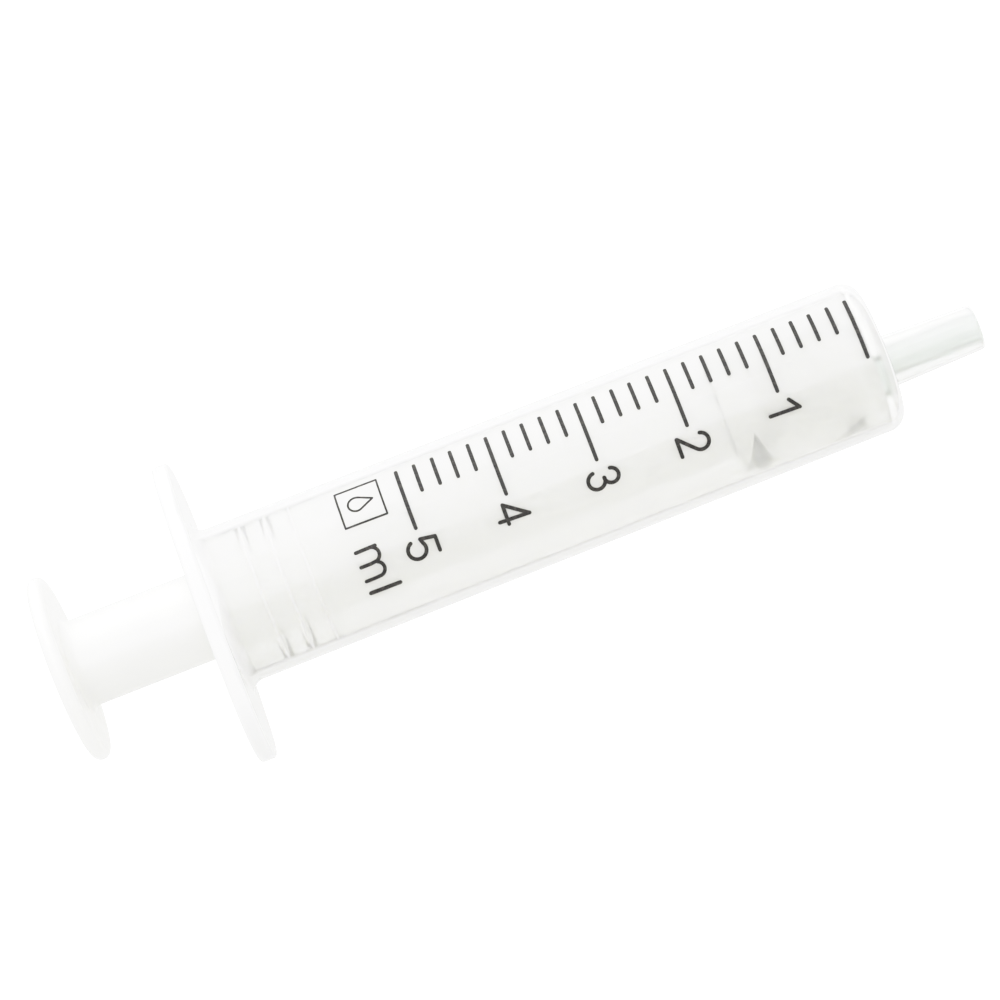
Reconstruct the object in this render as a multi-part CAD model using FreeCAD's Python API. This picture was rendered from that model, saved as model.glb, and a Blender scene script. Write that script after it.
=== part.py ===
import FreeCAD, Part
import math
import os

# A 5 ml oral syringe lying on its side, in millimetres.
#
# The shapes are drawn about the barrel's own axis: x = 0 is the rear face of the
# finger flange, +x runs to the nozzle, and +z is the side with the printed scale.
# place() then moves them to the row frame, whose origin is the middle of the whole
# object in x and y, at its lowest point in z.

# Driving dimensions -------------------------------------------------------------

# Bore and scale: the bore fixes how far the piston travels for each millilitre.
BORE_D = 12.3
CAPACITY_ML = 5
DIVISIONS_PER_ML = 5
ZERO_X = 62.4

# Barrel: one moulding of tube, finger flange and nozzle.
BARREL_END_X = 64.3
BARREL_R_REAR = 7.14
BARREL_R_FRONT = 6.93
SHOULDER_R = 1.6
BORE_END_X = 62.8
BORE_CORNER_R = 0.3
MOUTH_LEAD = 0.5

# Finger flange: a long oval, ears along y, with a fillet up to the tube.
FLANGE_T = 1.5
FLANGE_HALF_LENGTH = 14.3
FLANGE_HALF_WIDTH = 7.6
FLANGE_TIP_R = 6.0
FLANGE_EDGE_R = 0.35
FLANGE_FILLET_R = 1.15

# Three inner rings near the mouth: the front one is a low click ring that the piston
# passes at the full dose, and the two behind it keep the piston in.
RING_X = (5.74, 8.06, 10.36)
RING_HEIGHT = (0.18, 0.18, 0.06)
RING_HALF_WIDTH = 0.5

# Nozzle: a 6 % taper, set off centre on the side away from the scale.
NOZZLE_TIP_X = 73.66
NOZZLE_TIP_R = 2.1
NOZZLE_TAPER = 0.06
NOZZLE_OFFSET = 3.75
NOZZLE_BORE_R = 1.0
NOZZLE_EDGE_R = 0.3
NOZZLE_ROOT_R = 0.4

# Piston: a forward sealing lip and a rear lip on a narrower core, with a snap-in stem.
PISTON_FRONT_X = 61.3
LIP_CLEARANCE = 0.08
LIP_LAND = 0.8
LIP_EDGE_R = 0.25
FRONT_FLANK = 2.3
REAR_FLANK = 1.2
PISTON_CORE_R = 5.3
REAR_LIP_BACK = 10.4
PISTON_LENGTH = 12.3
PISTON_BACK_R = 4.9
STEM_LENGTH = 6.0
STEM_CLEARANCE = 0.05
STEM_CHAMFER = 0.4
SNAP_BACK = 3.0
SNAP_HEIGHT = 0.2
SNAP_HALF_WIDTH = 0.4

# Plunger rod: a tube with a round thumb rest that closes its rear end.
ROD_R = 4.0
ROD_BORE_R = 2.8
THUMB_R = 8.65
THUMB_T = 1.4
THUMB_REAR_X = -13.8
THUMB_FILLET_R = 0.8
ROD_BORE_CORNER_R = 1.0

# Printed scale: raised ink on the outside of the barrel, by angle about the barrel's
# axis from the middle of the scale (+z), positive towards -y.
INK_T = 0.04
MARK_WIDTH = 0.34
MARK_START = -35.1
SHORT_MARK_END = -8.2
LONG_MARK_END = 16.5

# Worked-out sizes ---------------------------------------------------------------

BORE_R = BORE_D / 2
ML_LENGTH = 1000.0 / (math.pi * BORE_R**2)
FLANGE_TIP_Y = FLANGE_HALF_LENGTH - FLANGE_TIP_R
LIP_R = BORE_R - LIP_CLEARANCE
PISTON_BACK_X = PISTON_FRONT_X - PISTON_LENGTH
SNAP_X = PISTON_BACK_X - SNAP_BACK
THUMB_FRONT_X = THUMB_REAR_X + THUMB_T
ROW_MIDDLE_X = (THUMB_REAR_X + NOZZLE_TIP_X) / 2
ROW_AXIS_Z = THUMB_R


def barrel_radius(x):
    """Outside radius of the drafted tube at x."""
    along = (x - FLANGE_T) / (BARREL_END_X - FLANGE_T)
    return BARREL_R_REAR + (BARREL_R_FRONT - BARREL_R_REAR) * along


# Helpers ------------------------------------------------------------------------

ORIGIN = FreeCAD.Vector(0, 0, 0)
X_AXIS = FreeCAD.Vector(1, 0, 0)


def point(x, r):
    return FreeCAD.Vector(x, 0, r)


def outline(steps):
    """A closed wire in the x-z plane. Each step is a corner (x, r), or a curved stretch
    ((x, r) on the curve, (x, r) at its end)."""
    start = point(*steps[0])
    here = start
    edges = []
    for step in steps[1:]:
        if isinstance(step[0], tuple):
            end = point(*step[1])
            edges.append(Part.Arc(here, point(*step[0]), end).toShape())
        else:
            end = point(*step)
            edges.append(Part.LineSegment(here, end).toShape())
        here = end
    edges.append(Part.LineSegment(here, start).toShape())
    return Part.Wire(edges)


def lathe(steps):
    """Turns an outline about the x axis."""
    face = Part.Face(outline(steps))
    return face.revolve(ORIGIN, X_AXIS, 360)


def rounding(corner, before, after):
    """A quarter round at a square corner, as one curved step of an outline, from the
    point before the corner to the point after it, both one radius away."""
    centre = (before[0] + after[0] - corner[0], before[1] + after[1] - corner[1])
    radius = math.hypot(corner[0] - before[0], corner[1] - before[1])
    dx = corner[0] - centre[0]
    dr = corner[1] - centre[1]
    size = math.hypot(dx, dr)
    middle = (centre[0] + radius * dx / size, centre[1] + radius * dr / size)
    return (middle, after)


def bump(x, base_r, height, half_width):
    """Steps of an outline that reach a round bump's near foot and go over it to the far
    foot. A negative half_width is for an outline that runs towards -x."""
    return [(x - half_width, base_r), ((x, base_r + height), (x + half_width, base_r))]


# Barrel -------------------------------------------------------------------------


def tube_outside():
    bend_x = BARREL_END_X - SHOULDER_R
    bend_r = barrel_radius(bend_x)
    shoulder = rounding((BARREL_END_X, bend_r), (bend_x, bend_r), (BARREL_END_X, bend_r - SHOULDER_R))
    start_r = barrel_radius(0)
    return lathe([(0, 0), (0, start_r), (bend_x, bend_r), shoulder, (BARREL_END_X, 0)])


def flange_outline(x, inset=0):
    """The oval at x: two large side arcs joined to two tip arcs without a corner."""
    half_length = FLANGE_HALF_LENGTH - inset
    half_width = FLANGE_HALF_WIDTH - inset
    rise = FLANGE_HALF_WIDTH - FLANGE_TIP_R
    side_r = FLANGE_TIP_R + (FLANGE_TIP_Y**2 + rise**2) / (2 * rise)
    side_drop = side_r - FLANGE_HALF_WIDTH
    turn = math.atan2(FLANGE_TIP_Y, side_drop)
    join_y = (side_r - inset) * math.sin(turn)
    join_z = (side_r - inset) * math.cos(turn) - side_drop

    def at(y, z):
        return FreeCAD.Vector(x, y, z)

    arcs = [
        Part.Arc(at(-join_y, join_z), at(0, half_width), at(join_y, join_z)),
        Part.Arc(at(join_y, join_z), at(half_length, 0), at(join_y, -join_z)),
        Part.Arc(at(join_y, -join_z), at(0, -half_width), at(-join_y, -join_z)),
        Part.Arc(at(-join_y, -join_z), at(-half_length, 0), at(-join_y, join_z)),
    ]
    return Part.Face(Part.Wire([arc.toShape() for arc in arcs]))


def flange():
    plate = flange_outline(0).extrude(FreeCAD.Vector(FLANGE_T, 0, 0))
    rims = [edge for edge in plate.Edges if edge.BoundBox.XLength < FLANGE_T / 2]
    return plate.makeFillet(FLANGE_EDGE_R, rims)


def flange_fillet():
    """The round between flange and tube, cut off just inside the flange's outline."""
    start_x = FLANGE_T / 2
    end_x = FLANGE_T + FLANGE_FILLET_R
    end_r = barrel_radius(end_x)
    foot_r = end_r + FLANGE_FILLET_R
    fillet = rounding((FLANGE_T, end_r), (FLANGE_T, foot_r), (end_x, end_r))
    ring = lathe([(start_x, BORE_R), (start_x, foot_r), (FLANGE_T, foot_r), fillet, (end_x, BORE_R)])
    limit = flange_outline(0, FLANGE_EDGE_R).extrude(FreeCAD.Vector(end_x, 0, 0))
    return ring.common(limit)


def nozzle_radius(x):
    return NOZZLE_TIP_R + (NOZZLE_TIP_X - x) * NOZZLE_TAPER / 2


def on_nozzle_axis(shape):
    shape.translate(FreeCAD.Vector(0, 0, -NOZZLE_OFFSET))
    return shape


def nozzle():
    start_x = BORE_END_X + BORE_CORNER_R
    edge_x = NOZZLE_TIP_X - NOZZLE_EDGE_R
    edge_r = NOZZLE_TIP_R - NOZZLE_EDGE_R
    edge = rounding((NOZZLE_TIP_X, NOZZLE_TIP_R), (edge_x, NOZZLE_TIP_R), (NOZZLE_TIP_X, edge_r))
    root_x = BARREL_END_X + NOZZLE_ROOT_R
    root_r = nozzle_radius(root_x)
    foot_r = root_r + NOZZLE_ROOT_R
    root = rounding((BARREL_END_X, root_r), (BARREL_END_X, foot_r), (root_x, root_r))
    base = [(start_x, 0), (start_x, foot_r), (BARREL_END_X, foot_r), root]
    return on_nozzle_axis(lathe(base + [(edge_x, NOZZLE_TIP_R), edge, (NOZZLE_TIP_X, 0)]))


def bore():
    corner_x = BORE_END_X - BORE_CORNER_R
    end_corner = rounding((BORE_END_X, BORE_R), (corner_x, BORE_R), (BORE_END_X, BORE_R - BORE_CORNER_R))
    steps = [(-MOUTH_LEAD, 0), (-MOUTH_LEAD, BORE_R + 2 * MOUTH_LEAD), (MOUTH_LEAD, BORE_R)]
    for x, height in zip(RING_X, RING_HEIGHT):
        steps += bump(x, BORE_R, -height, RING_HALF_WIDTH)
    steps += [(corner_x, BORE_R), end_corner, (BORE_END_X, 0)]
    return lathe(steps)


def nozzle_bore():
    start = FreeCAD.Vector(BORE_END_X - BORE_CORNER_R, 0, 0)
    length = NOZZLE_TIP_X - BORE_END_X + 2 * BORE_CORNER_R
    return on_nozzle_axis(Part.makeCylinder(NOZZLE_BORE_R, length, start, X_AXIS))


def barrel():
    outside = tube_outside().fuse([flange(), flange_fillet(), nozzle()])
    return outside.cut([bore(), nozzle_bore()]).removeSplitter()


# Plunger ------------------------------------------------------------------------


def piston():
    lip_front_x = PISTON_FRONT_X - LIP_EDGE_R
    lip_back_x = lip_front_x - LIP_LAND
    lip_edge = rounding((PISTON_FRONT_X, LIP_R), (PISTON_FRONT_X, LIP_R - LIP_EDGE_R), (lip_front_x, LIP_R))
    rear_lip_front_x = PISTON_FRONT_X - REAR_LIP_BACK + LIP_LAND / 2
    rear_lip_back_x = rear_lip_front_x - LIP_LAND
    stem_r = ROD_BORE_R - STEM_CLEARANCE
    stem_end_x = PISTON_BACK_X - STEM_LENGTH
    return lathe(
        [
            (PISTON_FRONT_X, 0),
            (PISTON_FRONT_X, LIP_R - LIP_EDGE_R),
            lip_edge,
            (lip_back_x, LIP_R),
            (lip_back_x - FRONT_FLANK, PISTON_CORE_R),
            (rear_lip_front_x + REAR_FLANK, PISTON_CORE_R),
            (rear_lip_front_x, LIP_R),
            (rear_lip_back_x, LIP_R),
            (PISTON_BACK_X, PISTON_BACK_R),
            (PISTON_BACK_X, stem_r),
        ]
        + bump(SNAP_X, stem_r, -SNAP_HEIGHT, -SNAP_HALF_WIDTH)
        + [
            (stem_end_x + STEM_CHAMFER, stem_r),
            (stem_end_x, stem_r - STEM_CHAMFER),
            (stem_end_x, 0),
        ]
    )


def plunger_rod_outside():
    rim_r = THUMB_T / 2
    flat_r = THUMB_R - rim_r
    rim = ((THUMB_REAR_X + rim_r, THUMB_R), (THUMB_FRONT_X, flat_r))
    fillet_r = ROD_R + THUMB_FILLET_R
    fillet_x = THUMB_FRONT_X + THUMB_FILLET_R
    fillet = rounding((THUMB_FRONT_X, ROD_R), (THUMB_FRONT_X, fillet_r), (fillet_x, ROD_R))
    thumb_rest = [(THUMB_REAR_X, 0), (THUMB_REAR_X, flat_r), rim, (THUMB_FRONT_X, fillet_r), fillet]
    return lathe(thumb_rest + [(PISTON_BACK_X, ROD_R), (PISTON_BACK_X, 0)])


def plunger_rod_bore():
    """Open at the front, with a bead inside that snaps into the piston's stem."""
    end_x = THUMB_FRONT_X + ROD_BORE_CORNER_R
    side_r = ROD_BORE_R - ROD_BORE_CORNER_R
    corner = rounding((THUMB_FRONT_X, ROD_BORE_R), (THUMB_FRONT_X, side_r), (end_x, ROD_BORE_R))
    steps = [(THUMB_FRONT_X, 0), (THUMB_FRONT_X, side_r), corner]
    steps += bump(SNAP_X, ROD_BORE_R, -SNAP_HEIGHT, SNAP_HALF_WIDTH)
    return lathe(steps + [(PISTON_BACK_X, ROD_BORE_R), (PISTON_BACK_X, 0)])


def plunger_rod():
    return plunger_rod_outside().cut(plunger_rod_bore())


# Printed scale ------------------------------------------------------------------


def mark(millilitres, end_angle):
    """One line of ink: a thin band turned about the axis between two angles."""
    middle_x = ZERO_X - millilitres * ML_LENGTH
    low = middle_x - MARK_WIDTH / 2
    high = middle_x + MARK_WIDTH / 2
    band = Part.Face(
        outline(
            [
                (low, barrel_radius(low)),
                (low, barrel_radius(low) + INK_T),
                (high, barrel_radius(high) + INK_T),
                (high, barrel_radius(high)),
            ]
        )
    )
    band.rotate(ORIGIN, X_AXIS, MARK_START)
    return band.revolve(ORIGIN, X_AXIS, end_angle - MARK_START)


def printed_scale():
    marks = []
    for division in range(CAPACITY_ML * DIVISIONS_PER_ML + 1):
        whole = division % DIVISIONS_PER_ML == 0
        end_angle = LONG_MARK_END if whole else SHORT_MARK_END
        marks.append(mark(division / DIVISIONS_PER_ML, end_angle))
    return Part.makeCompound(marks)


# Writing ------------------------------------------------------------------------


def place(shape):
    """Moves a shape from the barrel's axis to the row frame."""
    shape.translate(FreeCAD.Vector(-ROW_MIDDLE_X, 0, ROW_AXIS_Z))
    return shape


os.makedirs("parts", exist_ok=True)
nodes = {
    "barrel": barrel,
    "plunger_rod": plunger_rod,
    "piston": piston,
    "printed_scale": printed_scale,
}
for name, make in nodes.items():
    place(make()).exportStep(f"parts/{name}.step")
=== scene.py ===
import math

import bmesh
import bpy
from mathutils import Matrix, Vector
from mathutils.geometry import delaunay_2d_cdt


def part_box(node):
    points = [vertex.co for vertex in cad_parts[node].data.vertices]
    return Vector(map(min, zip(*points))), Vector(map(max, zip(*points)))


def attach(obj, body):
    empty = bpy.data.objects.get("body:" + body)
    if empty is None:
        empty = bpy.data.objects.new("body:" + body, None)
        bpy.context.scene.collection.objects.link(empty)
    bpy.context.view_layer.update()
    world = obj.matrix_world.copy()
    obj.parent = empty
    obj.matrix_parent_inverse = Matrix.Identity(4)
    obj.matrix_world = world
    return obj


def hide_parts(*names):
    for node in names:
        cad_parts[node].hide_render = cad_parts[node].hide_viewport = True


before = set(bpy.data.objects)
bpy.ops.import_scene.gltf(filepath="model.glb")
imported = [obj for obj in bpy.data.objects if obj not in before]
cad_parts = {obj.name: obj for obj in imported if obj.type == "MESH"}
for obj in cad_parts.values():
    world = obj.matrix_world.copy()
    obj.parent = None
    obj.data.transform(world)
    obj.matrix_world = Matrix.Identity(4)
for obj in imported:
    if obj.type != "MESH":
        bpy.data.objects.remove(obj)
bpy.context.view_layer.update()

# The looks of a 5 ml oral syringe. Lengths are in metres, written as millimetres times MM.
# Angles about the barrel's axis are in degrees from +z (the middle of the scale), positive
# towards -y, as in the part's own source.

MM = 0.001

# Places taken from the frame ------------------------------------------------------

barrel_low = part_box("barrel")[0]
rod_low, rod_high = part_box("plunger_rod")
piston_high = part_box("piston")[1]
scale_low, scale_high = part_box("printed_scale")

AXIS_Z = (rod_low.z + rod_high.z) / 2
FLANGE_REAR_X = barrel_low.x
CAPACITY_ML = 5
DIVISIONS_PER_ML = 5
MARK_WIDTH = 0.34 * MM
ZERO_X = scale_high.x - MARK_WIDTH / 2
FULL_X = scale_low.x + MARK_WIDTH / 2
ML_LENGTH = (ZERO_X - FULL_X) / CAPACITY_ML

# The drafted outside of the barrel, from the front of the flange to the end wall.
DRAFT_REAR_X = FLANGE_REAR_X + 1.5 * MM
DRAFT_FRONT_X = FLANGE_REAR_X + 64.3 * MM
DRAFT_R_REAR = 7.14 * MM
DRAFT_R_FRONT = 6.93 * MM

# Inside the barrel: three low rings near the mouth, the end of the bore, the nozzle's channel.
RING_X = [FLANGE_REAR_X + x * MM for x in (5.74, 8.06, 10.36)]
BORE_END_X = FLANGE_REAR_X + 62.8 * MM
NOZZLE_Z = AXIS_Z - 3.75 * MM
CHANNEL_R = 1.15 * MM

# Print: where the lines start and end, and how far the print is turned on the barrel.
MARK_START = -35.1
SHORT_MARK_END = -8.2
LONG_MARK_END = 16.5
PRINT_SKEW = 0.0102
INK_PROUD = 0.03 * MM
INK_SUNK = 0.015 * MM
THIN_LINE = 0.17 * MM
UNIT_LINE = 0.32 * MM
UNIT_TALL_LINE = 0.38 * MM
DIGIT_LIFT = 0.13 * MM
FACET = 0.3 * MM
CAP_STEPS = 8
ARC_STEP = 12.0
WELD = 1e-8

# The unit's foot, the box and its drop, from the rear of the flange and about the axis.
UNIT_FOOT = 14.65
UNIT_START = 16.7
BOX_LOW_X = FLANGE_REAR_X + 14.58 * MM
BOX_HIGH_X = FLANGE_REAR_X + 18.46 * MM
BOX_LEFT = -34.2
BOX_RIGHT = -2.2
DROP_BOWL_X = BOX_LOW_X + 1.55 * MM
DROP_BOWL_R = 0.72 * MM
DROP_TIP = 1.55 * MM

# Painted shade: dark films on the low side of the piston's lips, between them and the bore, each
# edged with a painted highlight rim.
FILM_OUTER_R = 6.087 * MM
FILM_INNER_R = 6.075 * MM
RIM_OUTER_R = 6.09 * MM
RIM_INNER_R = 6.072 * MM
FILM_LINE = 0.15 * MM
FILM_STEPS = 12
FILM_FOOT = 83.0
REAR_LIP_X = piston_high.x - 10.4 * MM
FRONT_LIP_X = piston_high.x - 0.9 * MM

# Each film as (name, crest angle, lip x, sides). A side is (foot, crest, sharpness), with the
# first two as distances from the lip in millimetres.
LIP_SHADE_FILMS = (
    ("rear", 37.6, REAR_LIP_X, ((-1.95, -0.03, 0.9), (1.55, 0.03, 0.7))),
    ("front", 62.2, FRONT_LIP_X, ((-3.4, 0.0, 0.9), (0.4, 0.05, 0.7))),
)

# Beside the rear lip the films lie lower, so that they clear the rings at the rear limit.
SAG = 0.2 * MM
SAG_START = 0.42 * MM
SAG_END = 0.75 * MM
SAG_REACH = 2.2 * MM
SAG_CUTS = [REAR_LIP_X + side * x for side in (-1, 1) for x in (SAG_START, SAG_END)]

# Camera: the angle of the photograph.
CAMERA_TILT = 16.5
CAMERA_DISTANCE = 332.4 * MM
CAMERA_X = -2.4 * MM
AIM_X = -1.9 * MM
PICTURE_TURN = 21.35
CAMERA_LENS = 134.6
SENSOR = 36.0


# The print ------------------------------------------------------------------------
# Artwork is drawn flat: u runs round the barrel in the direction the text reads, v
# along the barrel towards the nozzle, both in metres.

def barrel_radius(x):
    """Outside radius of the drafted tube at x."""
    along = (x - DRAFT_REAR_X) / (DRAFT_FRONT_X - DRAFT_REAR_X)
    return DRAFT_R_REAR + (DRAFT_R_FRONT - DRAFT_R_REAR) * along


PRINT_MIDDLE_X = (ZERO_X + FULL_X) / 2
PRINT_R = barrel_radius(PRINT_MIDDLE_X)


def round_by(angle):
    """The artwork's u at an angle about the barrel's axis."""
    return math.radians(angle) * PRINT_R


def around(x, angle, radius):
    """The point at x, at an angle in radians and a radius about the barrel's axis."""
    return Vector((x, -radius * math.sin(angle), AXIS_Z + radius * math.cos(angle)))


def on_barrel(u, v, outer):
    """Where the artwork's point (u, v) lands on the barrel, with the print's skew."""
    turned = u + PRINT_SKEW * (v - PRINT_MIDDLE_X)
    x = v - PRINT_SKEW * u
    lift = INK_PROUD if outer else -INK_SUNK
    return around(x, turned / PRINT_R, barrel_radius(x) + lift)


def film_sag(v):
    """How far a film lies below its usual radius at v."""
    away = abs(v - REAR_LIP_X)
    if away > SAG_REACH:
        return 0.0
    return SAG * min(max((away - SAG_START) / (SAG_END - SAG_START), 0.0), 1.0)


def on_rim(u, v, outer):
    """Where a point of a film's rim lands, a little thicker than the film."""
    return around(v, u / PRINT_R, (RIM_OUTER_R if outer else RIM_INNER_R) - film_sag(v))


def in_bore(u, v, outer):
    """Where a point of the film lands between the piston's lips and the bore."""
    return around(v, u / PRINT_R, (FILM_OUTER_R if outer else FILM_INNER_R) - film_sag(v))


def arc(centre, radius, start, end):
    """Points of an arc from angle start to end, in degrees."""
    steps = max(2, round(abs(end - start) / ARC_STEP))
    angles = [math.radians(start + (end - start) * i / steps) for i in range(steps + 1)]
    return [(centre[0] + radius * math.cos(a), centre[1] + radius * math.sin(a)) for a in angles]


def ribbon(points, width):
    """The outline of a stroke of even width with round ends along smooth points."""
    points = [Vector(p) for p in points]
    half = width / 2
    left, right = [], []
    for i, point in enumerate(points):
        before = points[max(i - 1, 0)]
        after = points[min(i + 1, len(points) - 1)]
        way = (after - before).normalized()
        side = Vector((-way.y, way.x)) * half
        left.append(point + side)
        right.append(point - side)

    def cap(middle, way):
        turn = math.atan2(way.y, way.x) - math.pi / 2
        angles = [turn + math.pi * i / CAP_STEPS for i in range(1, CAP_STEPS)]
        return [middle + half * Vector((math.cos(a), math.sin(a))) for a in angles]

    front = cap(points[-1], points[-1] - points[-2])
    back = cap(points[0], points[0] - points[1])
    return right + front + left[::-1] + back


def flat_union(outlines, cuts):
    """Triangles that cover the outlines once, cut into narrow strips in u and at cuts in v."""
    verts, faces = [], []
    for outline in outlines:
        corners = [Vector(p) for p in outline]
        area = sum(a.cross(b) for a, b in zip(corners, corners[1:] + corners[:1]))
        faces.append(list(range(len(verts), len(verts) + len(corners))))
        verts += corners if area > 0 else corners[::-1]
    made = delaunay_2d_cdt(verts, [], faces, 1, WELD)
    flat = bmesh.new()
    corners = [flat.verts.new((p.x, p.y, 0)) for p in made[0]]
    for triangle, covers in zip(made[2], made[5]):
        if covers:
            flat.faces.new([corners[i] for i in triangle])
    loose = [v for v in flat.verts if not v.link_faces]
    bmesh.ops.delete(flat, geom=loose, context="VERTS")
    low = min(v.co.x for v in flat.verts)
    high = max(v.co.x for v in flat.verts)
    strips = range(math.ceil(low / FACET), math.floor(high / FACET) + 1)
    planes = [((i * FACET, 0, 0), (1, 0, 0)) for i in strips]
    planes += [((0, v, 0), (0, 1, 0)) for v in cuts]
    for point, normal in planes:
        everything = flat.verts[:] + flat.edges[:] + flat.faces[:]
        bmesh.ops.bisect_plane(flat, geom=everything, dist=WELD, plane_co=point, plane_no=normal)
    return flat


def film(name, outlines, land, material, body, cuts=()):
    """A thin closed solid from flat outlines, laid where land(u, v, outer) puts each point."""
    flat = flat_union(outlines, cuts)
    flat.verts.index_update()
    solid = bmesh.new()
    top = [solid.verts.new(land(v.co.x, v.co.y, True)) for v in flat.verts]
    base = [solid.verts.new(land(v.co.x, v.co.y, False)) for v in flat.verts]
    for face in flat.faces:
        ids = [v.index for v in face.verts]
        solid.faces.new([top[i] for i in ids])
        solid.faces.new([base[i] for i in reversed(ids)])
    for edge in flat.edges:
        if len(edge.link_faces) == 1:
            loop = edge.link_loops[0]
            a, b = loop.vert.index, loop.link_loop_next.vert.index
            solid.faces.new([top[b], top[a], base[a], base[b]])
    flat.free()
    bmesh.ops.recalc_face_normals(solid, faces=solid.faces)
    mesh = bpy.data.meshes.new(name)
    solid.to_mesh(mesh)
    solid.free()
    piece = bpy.data.objects.new(name, mesh)
    bpy.context.collection.objects.link(piece)
    piece.data.materials.append(material)
    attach(piece, body)
    return piece


def printed(name, strokes):
    """Ink on the barrel. Each stroke is (points, width)."""
    outlines = [ribbon(points, width) for points, width in strokes]
    return film(name, outlines, on_barrel, INK, "barrel")


def moved(points, u, v):
    """Points given in millimetres, scaled and moved to (u, v)."""
    return [(u + a * MM, v + b * MM) for a, b in points]


# Strokes of the numerals, in millimetres from the end of their long line.
DIGITS = {
    1: [[(0.99, 0.66), (1.95, 1.38)],
        [(1.93, 1.36), (1.87, -1.34)]],
    2: [arc((1.67, 0.63), 0.75, 168, -42) + [(0.83, -1.28)],
        [(0.83, -1.32), (2.46, -1.33)]],
    3: [arc((1.68, 0.72), 0.66, 172, -92),
        arc((1.74, -0.66), 0.75, 95, -172)],
    4: [[(2.21, 1.33), (0.76, -0.67)],
        [(0.76, -0.67), (2.53, -0.68)],
        [(2.20, 1.33), (2.12, -1.40)]],
    5: [[(2.48, 1.31), (1.17, 1.33)],
        [(1.17, 1.33), (0.98, 0.02)],
        [(0.98, 0.00)] + arc((1.79, -0.56), 0.81, 122, -155)],
}


def make_scale():
    """The division lines and their numerals."""
    lines = []
    count = CAPACITY_ML * DIVISIONS_PER_ML
    for i in range(count + 1):
        v = ZERO_X - i * ML_LENGTH / DIVISIONS_PER_ML
        end = SHORT_MARK_END if i % DIVISIONS_PER_ML else LONG_MARK_END
        start_u = round_by(MARK_START) + MARK_WIDTH / 2
        end_u = round_by(end) - MARK_WIDTH / 2
        lines.append(([(start_u, v), (end_u, v)], MARK_WIDTH))
    marks = printed("scale_marks", lines)
    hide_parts("printed_scale")
    for digit, strokes in DIGITS.items():
        v = ZERO_X - digit * ML_LENGTH
        u = round_by(LONG_MARK_END) - DIGIT_LIFT
        printed(f"numeral_{digit}", [(moved(s, u, v), MARK_WIDTH) for s in strokes])


def make_unit():
    """The unit, "ml", below the numerals."""
    m_left = [(0, UNIT_FOOT), (-0.06, UNIT_FOOT + 1.82)]
    first = arc((0.62, UNIT_FOOT + 1.28), 0.66, 165, 20)
    first += [(1.32, UNIT_FOOT + 0.9), (1.33, UNIT_FOOT)]
    second = arc((1.95, UNIT_FOOT + 1.28), 0.66, 160, 15)
    second += [(2.63, UNIT_FOOT + 0.9), (2.65, UNIT_FOOT)]
    letter_l = [(3.84, UNIT_FOOT), (3.84, UNIT_FOOT + 2.72)]
    strokes = [(s, UNIT_LINE) for s in (m_left, first, second)] + [(letter_l, UNIT_TALL_LINE)]
    left = round_by(UNIT_START)
    printed("unit_ml", [(moved(s, left, FLANGE_REAR_X), w) for s, w in strokes])


def make_box():
    """A thin square frame round a plain drop of liquid."""
    left, right = round_by(BOX_LEFT), round_by(BOX_RIGHT)
    corners = [(left, BOX_LOW_X), (right, BOX_LOW_X), (right, BOX_HIGH_X), (left, BOX_HIGH_X)]
    sides = [(list(pair), THIN_LINE) for pair in zip(corners, corners[1:] + corners[:1])]
    middle = ((left + right) / 2, DROP_BOWL_X)
    bowl = arc(middle, DROP_BOWL_R, -205, 25)
    tip = (middle[0], middle[1] + DROP_TIP)
    drop = [([tip] + bowl, THIN_LINE), ([bowl[-1], tip], THIN_LINE)]
    printed("drop_box", sides + drop)


def film_side(lip_x, crest_angle, side):
    """One side of a film, from its foot low on the bore to its crest, as (u, v) points."""
    foot, crest, sharpness = side
    start, end = lip_x + foot * MM, lip_x + crest * MM
    low = round_by(FILM_FOOT)
    rise = low - round_by(crest_angle)
    parts = [i / FILM_STEPS for i in range(FILM_STEPS + 1)]
    return [(low - rise * part, start + (end - start) * part ** sharpness) for part in parts]


def make_lip_shade_films():
    """Dark films of painted shade at the lips, each with a painted highlight along its rim."""
    for name, crest_angle, lip_x, sides in LIP_SHADE_FILMS:
        back, front = [film_side(lip_x, crest_angle, side) for side in sides]
        # Painted shade in a dark film, and painted highlight in its pale rims.
        film(f"lubricant_{name}", [back + front[::-1]], in_bore, LIP_SHADE_PAINT, "plunger",
             SAG_CUTS)
        rims = [ribbon(back, FILM_LINE), ribbon(front, FILM_LINE)]
        film(f"painted_highlight_rim_{name}", rims, on_rim, HIGHLIGHT_RIM, "plunger", SAG_CUTS)


# Materials --------------------------------------------------------------------------

# How clear the barrel's plastic is, from 0 (milky) to 1: least where light goes a long way in it.
CLEARNESS = 0.66
RING_CLEARNESS = 0.4
FLANGE_CLEARNESS = 0.06
NOZZLE_CLEARNESS = 0.5
EDGE_CLEARNESS = 0.15
RING_LINE = 0.16 * MM
FLANGE_FADE = (0.1 * MM, 1.8 * MM)
END_FADE = (-0.6 * MM, 0.8 * MM)
EDGE_FADE = (0.42, 0.6)
HAZE_DEPTH = 0.5 * MM
CLEAR_WAVES = 0.0015 * MM
# Painted shade: the darker grey-green colour given to the plastic round the nozzle's channel.
CHANNEL_SHADE_COLOUR = (0.74, 0.80, 0.76, 1)

# How far light spreads in the plunger's plastics, and the height of their surface waves.
ROD_SCATTER = 1.0 * MM
PISTON_SCATTER = 4.0 * MM
ROD_WAVES = 0.0008 * MM
PISTON_WAVES = 0.0006 * MM
PISTON_COAT = 0.6
COAT_ROUGHNESS = 0.06

# How far red, green and blue light spread in the plastics, against each other.
SPREAD = (1.0, 1.0, 0.95)
INK_GRAIN = 0.004 * MM


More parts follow.
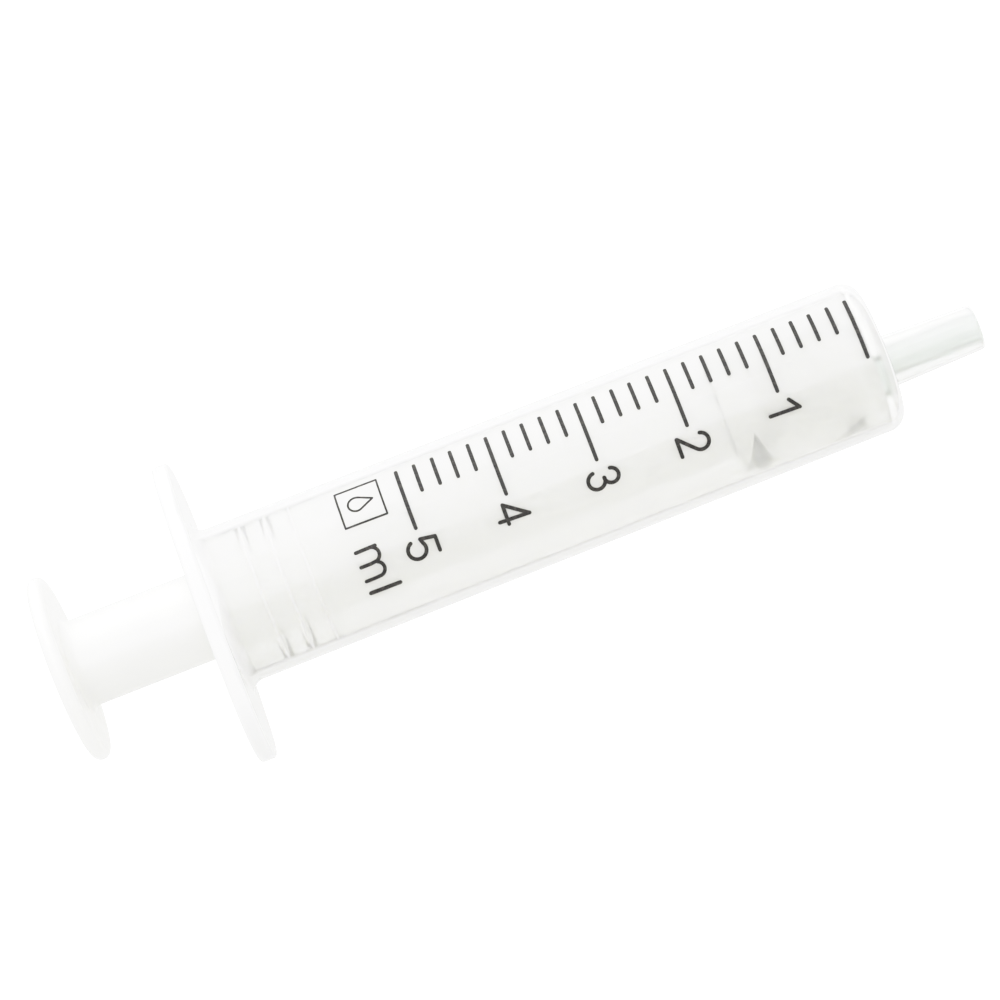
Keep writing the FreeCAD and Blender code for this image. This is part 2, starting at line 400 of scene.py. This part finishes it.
class Graph:
    """A material's node tree, with short ways to add to it."""

    def __init__(self, name):
        self.material = bpy.data.materials.new(name)
        self.material.use_nodes = True
        self.tree = self.material.node_tree
        self.shader = self.tree.nodes["Principled BSDF"]
        self.place = self.add("ShaderNodeTexCoord").outputs["Object"]

    def add(self, kind, **values):
        node = self.tree.nodes.new(kind)
        for name, value in values.items():
            setattr(node, name, value)
        return node

    def join(self, source, target):
        self.tree.links.new(source, target)

    def set(self, **values):
        """Sets the shader's sockets that are the same all over, by name with _ for a space."""
        for name, value in values.items():
            self.shader.inputs[name.replace("_", " ")].default_value = value

    def stretched(self, scale):
        """Object coordinates scaled by a vector, so a pattern can run along the part."""
        mapping = self.add("ShaderNodeMapping")
        mapping.inputs["Scale"].default_value = scale
        self.join(self.place, mapping.inputs["Vector"])
        return mapping.outputs["Vector"]

    def noise(self, scale, detail=3.0, roughness=0.5, stretch=None):
        """Fractal noise: scale is in cycles per metre."""
        node = self.add("ShaderNodeTexNoise")
        node.inputs["Scale"].default_value = scale
        node.inputs["Detail"].default_value = detail
        node.inputs["Roughness"].default_value = roughness
        self.join(self.stretched(stretch) if stretch else self.place, node.inputs["Vector"])
        return node.outputs["Fac"]

    def between(self, value, low, high, from_low=0.3, from_high=0.7):
        """A value moved from one range to another and held inside it."""
        node = self.add("ShaderNodeMapRange")
        node.inputs["From Min"].default_value = from_low
        node.inputs["From Max"].default_value = from_high
        node.inputs["To Min"].default_value = low
        node.inputs["To Max"].default_value = high
        self.join(value, node.inputs["Value"])
        return node.outputs["Result"]

    def math(self, operation, *values):
        """The result of a Math node."""
        node = self.add("ShaderNodeMath", operation=operation)
        for socket, value in zip(node.inputs, values):
            if isinstance(value, (int, float)):
                socket.default_value = value
            else:
                self.join(value, socket)
        return node.outputs["Value"]

    def split(self):
        """The object coordinates, one by one."""
        node = self.add("ShaderNodeSeparateXYZ")
        self.join(self.place, node.inputs["Vector"])
        return node

    def pulse(self, value, middle, half_width):
        """1 in the middle, falling to 0 half_width away."""
        away = self.math("ABSOLUTE", self.math("SUBTRACT", value, middle))
        return self.between(away, 1.0, 0.0, 0.3 * half_width, half_width)

    def blend(self, value, first, second):
        """A colour between two others."""
        node = self.add("ShaderNodeMix", data_type="RGBA")
        self.join(value, node.inputs["Factor"])
        node.inputs["A"].default_value = first
        node.inputs["B"].default_value = second
        return node.outputs["Result"]

    def bump(self, height, depth):
        """Small relief on the surface: depth in metres for the full range of the height."""
        node = self.add("ShaderNodeBump")
        node.inputs["Strength"].default_value = 1.0
        node.inputs["Distance"].default_value = depth
        self.join(height, node.inputs["Height"])
        self.join(node.outputs["Normal"], self.shader.inputs["Normal"])


def clear_plastic():
    """Natural polypropylene: glossy, clear with a slight haze in the thin wall, milky where thick."""
    g = Graph("barrel_plastic")
    g.set(IOR=1.49, Subsurface_Weight=1.0, Subsurface_Scale=HAZE_DEPTH)
    g.shader.inputs["Subsurface Radius"].default_value = SPREAD
    place = g.split()
    x = place.outputs["X"]

    cloud = g.between(g.noise(160.0, detail=2.0), 0, 1)
    tint = g.blend(cloud, (0.98, 0.98, 0.965, 1), (0.988, 0.988, 0.976, 1))
    # Painted shade: the plastic within the channel's radius, ahead of the bore's end, is coloured
    # darker for the shade seen in the channel.
    below = g.math("SUBTRACT", place.outputs["Z"], NOZZLE_Z)
    squares = g.math("ADD", g.math("POWER", below, 2.0), g.math("POWER", place.outputs["Y"], 2.0))
    inside = g.math("LESS_THAN", g.math("SQRT", squares), CHANNEL_R)
    channel = g.math("MULTIPLY", inside, g.math("GREATER_THAN", x, BORE_END_X))
    shade = g.add("ShaderNodeMix", data_type="RGBA")
    g.join(channel, shade.inputs["Factor"])
    g.join(tint, shade.inputs["A"])
    shade.inputs["B"].default_value = CHANNEL_SHADE_COLOUR
    g.join(shade.outputs["Result"], g.shader.inputs["Base Color"])

    streaks = g.noise(900.0, stretch=(0.25, 1, 1))
    g.join(g.between(streaks, 0.02, 0.04), g.shader.inputs["Roughness"])
    g.bump(g.noise(500.0, detail=2.0, stretch=(0.3, 1, 1)), CLEAR_WAVES)

    lines = [g.pulse(x, ring, RING_LINE) for ring in RING_X]
    milky = g.math("MAXIMUM", g.math("MAXIMUM", lines[0], lines[1]), lines[2])
    tube = g.between(milky, CLEARNESS, RING_CLEARNESS, 0.0, 1.0)
    flange = g.between(x, FLANGE_CLEARNESS, 1.0, *[DRAFT_REAR_X + fade for fade in FLANGE_FADE])
    nozzle = g.between(x, 1.0, NOZZLE_CLEARNESS, *[BORE_END_X + fade for fade in END_FADE])
    long_way = g.add("ShaderNodeLayerWeight")
    long_way.inputs["Blend"].default_value = 0.5
    edge = g.between(long_way.outputs["Facing"], 1.0, EDGE_CLEARNESS, *EDGE_FADE)
    clear = g.math("MINIMUM", g.math("MINIMUM", tube, edge), g.math("MINIMUM", flange, nozzle))
    g.join(clear, g.shader.inputs["Transmission Weight"])
    return g.material


def milky_plastic(name, base, deep, gloss_low, gloss_high, waviness, coat, scatter):
    """White moulded plastic that light enters a little way, with a soft gloss."""
    g = Graph(name)
    g.set(IOR=1.5, Subsurface_Weight=1.0, Subsurface_Scale=scatter, Coat_Weight=coat,
          Coat_Roughness=COAT_ROUGHNESS)
    g.shader.inputs["Subsurface Radius"].default_value = SPREAD
    cloud = g.noise(220.0, detail=3.0)
    g.join(g.blend(g.between(cloud, 0, 1), base, deep), g.shader.inputs["Base Color"])
    streaks = g.noise(1200.0, stretch=(0.15, 1, 1))
    g.join(g.between(streaks, gloss_low, gloss_high), g.shader.inputs["Roughness"])
    g.bump(g.noise(1500.0, detail=3.0, stretch=(0.4, 1, 1)), waviness)
    return g.material


def print_ink():
    """Dark screen-print ink: brown-black, thin in places, slightly grainy."""
    g = Graph("scale_ink")
    thin = g.noise(2600.0, detail=4.0, roughness=0.65)
    worn = g.between(thin, 0, 1, 0.45, 0.8)
    brown = g.blend(worn, (0.012, 0.010, 0.009, 1), (0.07, 0.062, 0.055, 1))
    g.join(brown, g.shader.inputs["Base Color"])
    g.join(g.between(thin, 0.35, 0.6), g.shader.inputs["Roughness"])
    g.bump(g.noise(6000.0, detail=2.0), INK_GRAIN)
    return g.material


def mottled(name, base, pale, **values):
    """A plain shader with a faintly mottled colour."""
    g = Graph(name)
    g.set(**values)
    mottle = g.between(g.noise(900.0), 0, 1)
    g.join(g.blend(mottle, base, pale), g.shader.inputs["Base Color"])
    return g.material


INK = print_ink()
# Painted shade: this dark grey sheet stands for the shade in the hollows beside the piston's lips.
LIP_SHADE_PAINT = mottled("painted_lip_shade", (0.28, 0.28, 0.25, 1), (0.36, 0.36, 0.33, 1),
              IOR=1.4, Transmission_Weight=0.2, Roughness=0.1)
# Painted highlight: pale rims along the edges of the painted shade films.
HIGHLIGHT_RIM = mottled("painted_highlight_rim", (0.94, 0.94, 0.92, 1), (0.99, 0.99, 0.97, 1),
              IOR=1.4, Roughness=0.2)


def dress(node, material):
    """Gives a CAD node its material in place of the plain one."""
    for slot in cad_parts[node].material_slots:
        slot.material = material


# The room ---------------------------------------------------------------------------

FLOOR_SIZE = 3.0

# How brightly the table glows: as a lamp, and as seen by the camera or through clear plastic.
TABLE_LIGHT = 0.75
TABLE_WHITE = 1.22


def make_floor():
    """A plain white table, bright enough to read as a clean white ground."""
    bpy.ops.mesh.primitive_plane_add(size=FLOOR_SIZE, location=(0, 0, 0))
    floor = bpy.context.object
    floor.name = "floor"
    g = Graph("white_table")
    g.set(Base_Color=(0.3, 0.3, 0.3, 1), Roughness=0.9, Emission_Color=(1.0, 1.0, 0.985, 1))
    path = g.add("ShaderNodeLightPath")
    seen = g.math("MAXIMUM", path.outputs["Is Camera Ray"], path.outputs["Is Transmission Ray"])
    g.join(g.between(seen, TABLE_LIGHT, TABLE_WHITE, 0.0, 1.0), g.shader.inputs["Emission Strength"])
    floor.data.materials.append(g.material)


# The room's light by direction. Angles are about x, in degrees from +z towards -y. The panel is
# all that lies on the +y side of PANEL_EDGE, and is at its full strength near the plane x = 0.
PANEL_EDGE = 25.0
EDGE_SOFTNESS = 0.8
PANEL_LIGHT = 2.55
SHADE_LIGHT = 0.875
PANEL_END = 0.27
END_SOFTNESS = 0.05
END_LIGHT = 0.12
PANEL_COLOUR = (0.985, 0.985, 1.0, 1)
SHADE_COLOUR = (1.0, 1.0, 0.965, 1)

# A narrow bright strip inside the panel, on the rear side only.
STRIP_ANGLE = -45.0
STRIP_HALF = 9.0
STRIP_SOFTNESS = 4.0
STRIP_LIGHT = 1.0
STRIP_REAR = (-0.6, -0.5)
STRIP_FRONT = (-0.02, 0.06)


def make_light():
    """A pale room with a broad bright panel on the +y side, a little past the top, and a strip."""
    world = bpy.data.worlds.new("room")
    world.use_nodes = True
    nodes, links = world.node_tree.nodes, world.node_tree.links
    way = nodes.new("ShaderNodeTexCoord").outputs["Generated"]
    split = nodes.new("ShaderNodeSeparateXYZ")
    links.new(way, split.inputs["Vector"])
    x, y, z = [split.outputs[name] for name in "XYZ"]

    def maths(operation, *values):
        node = nodes.new("ShaderNodeMath")
        node.operation = operation
        for socket, value in zip(node.inputs, values):
            if isinstance(value, (int, float)):
                socket.default_value = value
            else:
                links.new(value, socket)
        return node.outputs["Value"]

    def ramp(value, start, end, low, high):
        node = nodes.new("ShaderNodeMapRange")
        node.interpolation_type = "SMOOTHSTEP"
        links.new(value, node.inputs["Value"])
        ends = {"From Min": start, "From Max": end, "To Min": low, "To Max": high}
        for name, number in ends.items():
            node.inputs[name].default_value = number
        return node.outputs["Result"]

    radians = maths("ARCTAN2", maths("MULTIPLY", y, -1.0), z)
    angle = maths("MULTIPLY", radians, math.degrees(1))
    over = ramp(angle, PANEL_EDGE - EDGE_SOFTNESS, PANEL_EDGE + EDGE_SOFTNESS, 1.0, 0.0)
    aside = maths("ABSOLUTE", x)
    middle = ramp(aside, PANEL_END - END_SOFTNESS, PANEL_END + END_SOFTNESS, 1.0, END_LIGHT)
    panel = maths("MULTIPLY", over, middle)
    broad = maths("MULTIPLY_ADD", panel, PANEL_LIGHT - SHADE_LIGHT, SHADE_LIGHT)
    off = maths("ABSOLUTE", maths("SUBTRACT", angle, STRIP_ANGLE))
    strip = ramp(off, STRIP_HALF - STRIP_SOFTNESS, STRIP_HALF + STRIP_SOFTNESS, STRIP_LIGHT, 0.0)
    strip = maths("MULTIPLY", strip, ramp(x, *STRIP_FRONT, 1.0, 0.0))
    strip = maths("MULTIPLY", strip, ramp(x, *STRIP_REAR, 0.0, 1.0))
    background = nodes["Background"]
    colour = nodes.new("ShaderNodeMix")
    colour.data_type = "RGBA"
    colour.inputs["A"].default_value = SHADE_COLOUR
    colour.inputs["B"].default_value = PANEL_COLOUR
    links.new(over, colour.inputs["Factor"])
    links.new(colour.outputs["Result"], background.inputs["Color"])
    links.new(maths("ADD", broad, strip), background.inputs["Strength"])
    bpy.context.scene.world = world


def make_camera():
    """The camera of the photograph: above the scale and a little to the -y side."""
    tilt = math.radians(CAMERA_TILT)
    out = Vector((0, -math.sin(tilt), math.cos(tilt)))
    place = Vector((CAMERA_X, 0, AXIS_Z)) + out * CAMERA_DISTANCE
    aim = Vector((AIM_X, 0, AXIS_Z))
    back = (place - aim).normalized()
    along = (Vector((1, 0, 0)) - back * back.x).normalized()
    across = back.cross(along)
    turn = math.radians(PICTURE_TURN)
    right = along * math.cos(turn) - across * math.sin(turn)
    up = along * math.sin(turn) + across * math.cos(turn)
    data = bpy.data.cameras.new("camera")
    data.sensor_width = SENSOR
    data.lens = CAMERA_LENS
    data.clip_start = 0.01
    data.clip_end = 10.0
    camera = bpy.data.objects.new("camera", data)
    camera.matrix_world = Matrix((
        (right.x, up.x, back.x, place.x),
        (right.y, up.y, back.y, place.y),
        (right.z, up.z, back.z, place.z),
        (0, 0, 0, 1)))
    bpy.context.collection.objects.link(camera)
    bpy.context.scene.camera = camera


# Tone curve: the light that shows as white, and (light, shown) on the way there.
WHITE = 1.35
SHOULDER = ((0.6, 0.6), (0.8, 0.79), (0.95, 0.885), (1.1, 0.94), (1.22, 0.965))


def set_picture():
    """Plain tones, denoised, with enough bounces for light inside the clear barrel."""
    scene = bpy.context.scene
    scene.view_settings.view_transform = "Standard"
    scene.view_settings.look = "None"
    scene.view_settings.exposure = 0.0
    scene.view_settings.gamma = 1.0
    scene.view_settings.use_curve_mapping = True
    curves = scene.view_settings.curve_mapping
    curves.white_level = (WHITE, WHITE, WHITE)
    shoulder = curves.curves[3]
    for light, shown in SHOULDER:
        shoulder.points.new(light / WHITE, shown)
    curves.update()
    scene.cycles.use_denoising = True
    scene.cycles.max_bounces = 24
    scene.cycles.diffuse_bounces = 12
    scene.cycles.glossy_bounces = 8
    scene.cycles.transmission_bounces = 20
    scene.cycles.transparent_max_bounces = 12
    scene.cycles.sample_clamp_indirect = 6.0
    scene.cycles.blur_glossy = 0.0


make_scale()
make_unit()
make_box()
make_lip_shade_films()
dress("barrel", clear_plastic())
dress("plunger_rod", milky_plastic("plunger_plastic", (0.865, 0.865, 0.845, 1), (0.88, 0.88, 0.86, 1),
                                   0.16, 0.22, ROD_WAVES, 0.0, ROD_SCATTER))
dress("piston", milky_plastic("piston_plastic", (0.81, 0.81, 0.79, 1), (0.84, 0.84, 0.82, 1),
                              0.12, 0.18, PISTON_WAVES, PISTON_COAT, PISTON_SCATTER))
make_floor()
make_light()
make_camera()
set_picture()
